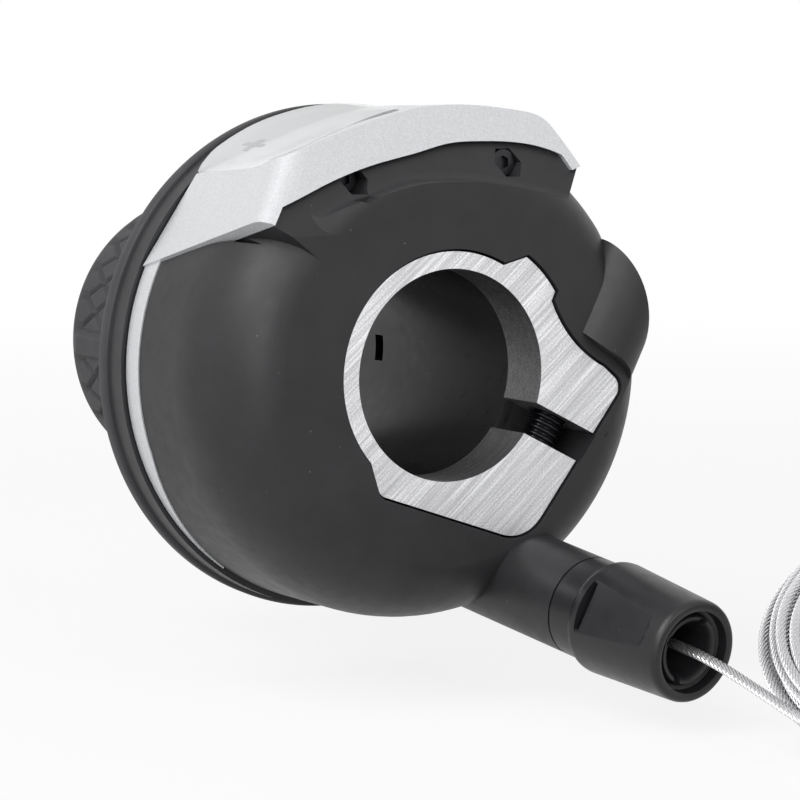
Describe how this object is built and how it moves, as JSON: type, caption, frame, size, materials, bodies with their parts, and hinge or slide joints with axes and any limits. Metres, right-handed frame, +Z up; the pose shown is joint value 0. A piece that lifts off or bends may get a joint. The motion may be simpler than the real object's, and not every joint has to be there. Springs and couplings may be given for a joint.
{
  "type": "twist grip shifter",
  "caption": "Twist grip gear shifter with a bar clamp, a windowed housing, a turning rubber grip and a barrel adjuster with its coiled inner cable.",
  "frame": {"origin": "centre of the handlebar clamp's bore, at the clamp's inboard face", "axes": "+X along the handlebar, inboard; +Y forward; +Z up"},
  "size_m": [0.1289, 0.0863, 0.0626],
  "materials": {
    "housing_black": "satin moulded black plastic with fine grain",
    "clamp_aluminium": "bright saw-cut extrusion",
    "steel": "zinc plated steel",
    "screw_black": "black oxide screw",
    "cover_silver": "silver metallic paint on plastic",
    "lens_clear": "clear moulded lens",
    "scale_pale": "pale printed plate",
    "pointer_orange": "orange plastic pointer",
    "sleeve_black": "smooth black acetal",
    "core_black": "satin dark grey plastic",
    "grip_rubber": "soft rubber with a diamond tread",
    "detent_white": "natural acetal",
    "barrel_black": "satin black plastic",
    "cable_steel": "stranded steel wire",
    "cable_zinc": "cast zinc"
  },
  "bodies": {
    "base": {"housing": "housing_black", "clamp": "clamp_aluminium", "clamp_screw": "screw_black", "top_cover": "cover_silver", "window_lens": "lens_clear", "gear_scale": "scale_pale", "cover_screws": "steel", "bar_sleeve": "sleeve_black", "retaining_clip": "steel", "detent_spring": "steel", "cable_guide": "steel", "inner_cable": "cable_steel", "barrel_spring": "steel", "cable_lead": "cable_steel", "cable_coil": "cable_steel"},
    "grip": {"grip_core": "core_black", "rubber_grip": "grip_rubber", "detent_ring": "detent_white", "indicator": "pointer_orange", "spool_cable": "cable_steel", "cable_head": "cable_zinc"},
    "barrel": {"barrel_core": "barrel_black", "barrel_sleeve": "barrel_black"}
  },
  "joints": [
    {"name": "grip_turn", "type": "hinge", "parent": "base", "child": "grip", "pos_m": [0, 0, 0], "axis": [-1, 0, 0], "range_deg": [0, 38], "deforming": ["detent_spring"]},
    {"name": "barrel_turn", "type": "hinge", "parent": "base", "child": "barrel", "pos_m": [0.025, 0.0133, -0.0265], "axis": [0.984, 0.1043, -0.1446], "continuous": true}
  ]
}
